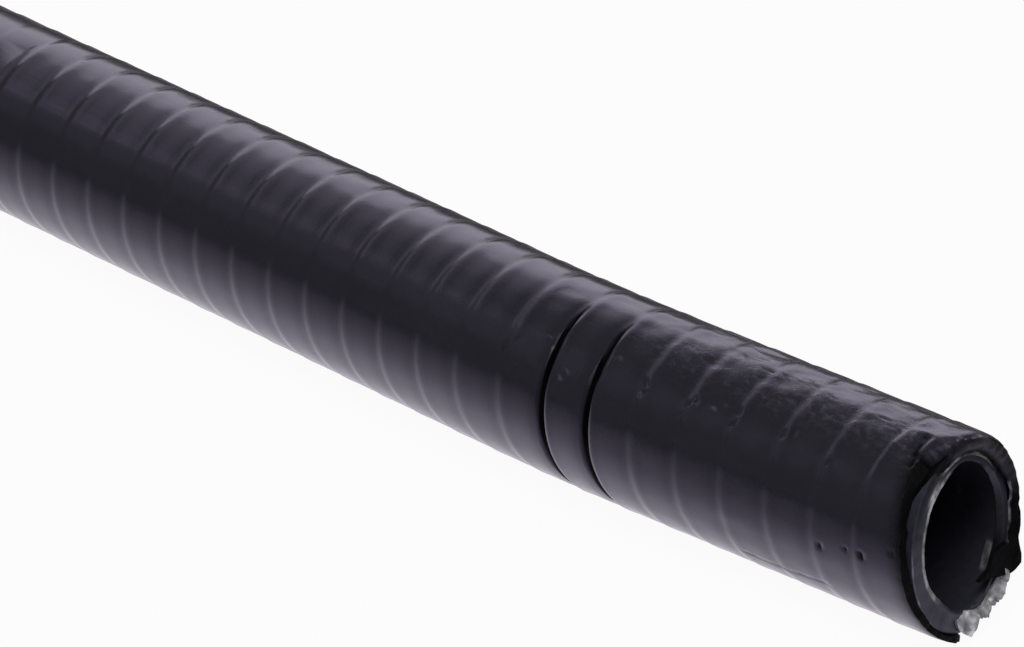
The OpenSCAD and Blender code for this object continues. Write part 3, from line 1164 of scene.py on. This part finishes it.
near, far, proud, bare = (
    np.interp(turned, tongue_around, sizes)
    for sizes in (tongue_in_r, tongue_out_r, tongue_proud, tongue_bare)
)
tears = np.random.default_rng(5)
far = far + tears.uniform(-TONGUE_JAG, TONGUE_JAG, len(turned))
slope = CUT_SLOPE * np.sin(np.radians(turned)) - CUT_LEAN * np.cos(np.radians(turned))
sections = []
for share in TONGUE_SHARES:
    r = part_way(near, far, share)
    bent = tears.uniform(-TONGUE_CRUMPLE, TONGUE_CRUMPLE, len(tongue_around))
    place = CUT_PLACE + r * slope + proud * part_way(TONGUE_ROOT, 1, share)
    sections.append((place + np.interp(turned, tongue_around, bent), r))
sections += [(place - TONGUE_T, r) for place, r in sections[::-1]]
count, length = len(sections), len(turned)
tongue_faces = [
    [i * length + k, i * length + k + 1, (i + 1) % count * length + k + 1, (i + 1) % count * length + k]
    for i in range(count)
    for k in range(length - 1)
]
tongue_faces += [[i * length + k for i in range(count)] for k in (0, length - 1)]
tongue = np.vstack([tube_points(place, turned, r) for place, r in sections])
core.add(tongue, tongue_faces, wear_and_highlight=np.tile(bare, count))
core_piece = make_piece("core", core, [strip_steel], sharp=38)

# %% [markdown]
# ## Bodies
#
# The whole length is one body. Each piece rides on it and stands for the CAD solid that it covers.

# %% Bodies
for piece, node in ((cover_piece, "pvc_cover"), (core_piece, "steel_core")):
    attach(piece, "root")
    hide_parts(node)
    print(piece.name, "stands for", node)

# %% [markdown]
# ## Floor
#
# The tube lies on white paper. To the camera the floor is white, with only a trace of shadow. The underside
# of the cover mirrors the paper, brightest where the two are close, because further off the paper gets less
# of the studio's light. So a mirrored ray sees the floor fade with its distance from the tube.

# %% The sheet
FLOOR_HALF = 30.0
floor_z = -COVER_R * MM
mesh = bpy.data.meshes.new("floor")
corners = [(x * FLOOR_HALF, y * FLOOR_HALF, floor_z) for x, y in ((-1, -1), (1, -1), (1, 1), (-1, 1))]
mesh.from_pydata(corners, [], [(0, 1, 2, 3)])
floor = new_object("floor", mesh)
print(f"the floor lies at {floor_z / MM} mm")

# %% [markdown]
# The Light Path node tells a camera ray from a mirrored one. What is left, such as light that bounces from
# the paper onto the tube, meets plain diffuse paper, and that is what keeps the shadow.

# %% White paper
# To the eye it is an even white.
WHITE_SHARE = 0.95
# The mirrored floor starts to fade this far out from the tube's line, along the tail and at the cut. One
# distance gives way to the other between two places along the tube.
POOL_L, POOL_END_L = 12.0 * MM, 9.2 * MM
POOL_FROM, POOL_TO = 945 * MM, 965 * MM
paper, tree, place = new_material("white_paper")
rays = add(tree, "ShaderNodeLightPath").outputs
seen = add(
    tree, "ShaderNodeMath", {0: rays["Is Camera Ray"], 1: rays["Is Transmission Ray"]}, operation="MAXIMUM"
)
white = add(tree, "ShaderNodeEmission", {"Color": (1, 1, 1, 1), "Strength": 1.0})
across = add(tree, "ShaderNodeSeparateXYZ", {0: place})
away = add(tree, "ShaderNodeMath", {0: across.outputs[1]}, operation="ABSOLUTE")
reach = add(
    tree,
    "ShaderNodeMapRange",
    {
        "Value": across.outputs[0],
        "From Min": POOL_FROM,
        "From Max": POOL_TO,
        "To Min": POOL_L,
        "To Max": POOL_END_L,
    },
)
away = add(tree, "ShaderNodeMath", {0: away, 1: reach}, operation="MAXIMUM")
pool = add(tree, "ShaderNodeMath", {0: reach, 1: away}, operation="DIVIDE")
pool_light = add(tree, "ShaderNodeEmission", {"Color": linear("#FAF6FF"), "Strength": pool})
sheet = add(tree, "ShaderNodeBsdfDiffuse", {"Color": linear("#F0F0F0")})
seen_white = add(tree, "ShaderNodeMath", {0: seen, 1: WHITE_SHARE}, operation="MULTIPLY")
mixed = add(tree, "ShaderNodeMixShader", {0: seen_white, 1: sheet, 2: white})
mixed = add(tree, "ShaderNodeMixShader", {0: rays["Is Glossy Ray"], 1: mixed, 2: pool_light})
add(tree, "ShaderNodeOutputMaterial", {"Surface": mixed})
mesh.materials.append(paper)
print(paper.name, len(tree.nodes), "nodes")

# %% [markdown]
# ## Light
#
# A small studio has little light besides its lamps, so the world is dim and white. It only keeps the darkest
# sides of the tube from going fully black.

# %% The dim room
ROOM_LIGHT = 0.08
world = bpy.data.worlds.new("dim_room")
bpy.context.scene.world = world
world.use_nodes = True
room = world.node_tree.nodes["Background"]
room.inputs["Color"].default_value = (1, 1, 1, 1)
room.inputs["Strength"].default_value = ROOM_LIGHT
print("room light:", ROOM_LIGHT)

# %% [markdown]
# Black plastic shows its form by what it mirrors. A long soft box low behind the tube draws the bright band
# along its top, two dim ones let that band fade down the side, and a key light in front lights the cut end.
# Each is an area lamp, and its power follows from how bright it should look in a mirror.


# %% Lamps
def soft_box(name, azimuth, elevation, distance, width, height, radiance, colour="#FFFFFF"):
    """An area lamp that faces the elbow, with its brightness given as seen in a mirror."""
    lamp = bpy.data.lights.new(name, "AREA")
    lamp.shape = "RECTANGLE"
    lamp.size, lamp.size_y = width, height
    lamp.energy = math.pi * width * height * radiance
    lamp.color = linear(colour)[:3]
    placed = new_object(name, lamp)
    azimuth, elevation = math.radians(azimuth), math.radians(elevation)
    level = math.cos(elevation)
    towards = Vector((level * math.cos(azimuth), level * math.sin(azimuth), math.sin(elevation)))
    placed.location = corner_point + distance * towards
    placed.rotation_euler = towards.to_track_quat("Z", "Y").to_euler()


# Each has its azimuth and elevation in degrees, its distance, width and height in metres, and its
# brightness. The lamps behind are very slightly cool.
COOL = "#F6F1FF"
soft_box("sweep_light", 140, 22.4, 1.3, 1.5, 0.58, 1.18, COOL)
soft_box("upper_light", 165, 38.5, 1.3, 1.8, 0.19, 0.43, COOL)
soft_box("fading_light", 214, 29, 1.3, 0.6, 0.45, 0.09, COOL)
soft_box("key_light", -45, 58, 1.5, 1.0, 1.0, 4.2)
print("lamps:", [light.name for light in bpy.data.lights])

# %% [markdown]
# ## Camera
#
# The cut end is seen from in front and a little above, through a long lens, which keeps the tube's two sides
# almost parallel. The camera's three axes are worked out from two angles, and its place from the corner of
# the bend.

# %% Camera
# The bow turns the tail by its own angle, and the view turns with it. The lengths are mm.
VIEW_AZIMUTH = math.radians(52.54 + BOW_ANGLE)
VIEW_ELEVATION = math.radians(20.91)
VIEW_DISTANCE = 810.6
VIEW_RIGHT = -7.18
VIEW_UP = 5.45
camera_data = bpy.data.cameras.new("camera")
camera_data.sensor_width = 36.0
camera_data.lens = 323.9
camera_data.clip_start = 0.01
camera = new_object("camera", camera_data)
level = math.cos(VIEW_ELEVATION)
right = Vector((math.cos(VIEW_AZIMUTH), math.sin(VIEW_AZIMUTH), 0))
back = Vector((level * math.sin(VIEW_AZIMUTH), -level * math.cos(VIEW_AZIMUTH), math.sin(VIEW_ELEVATION)))
up = back.cross(right)
position = corner_point + MM * (VIEW_RIGHT * right + VIEW_UP * up + VIEW_DISTANCE * back)
camera.matrix_world = Matrix.Translation(position) @ Matrix((right, up, back)).transposed().to_4x4()
bpy.context.scene.camera = camera
bpy.context.scene.view_settings.view_transform = "Standard"
print("camera at, mm:", [round(c / MM) for c in position])
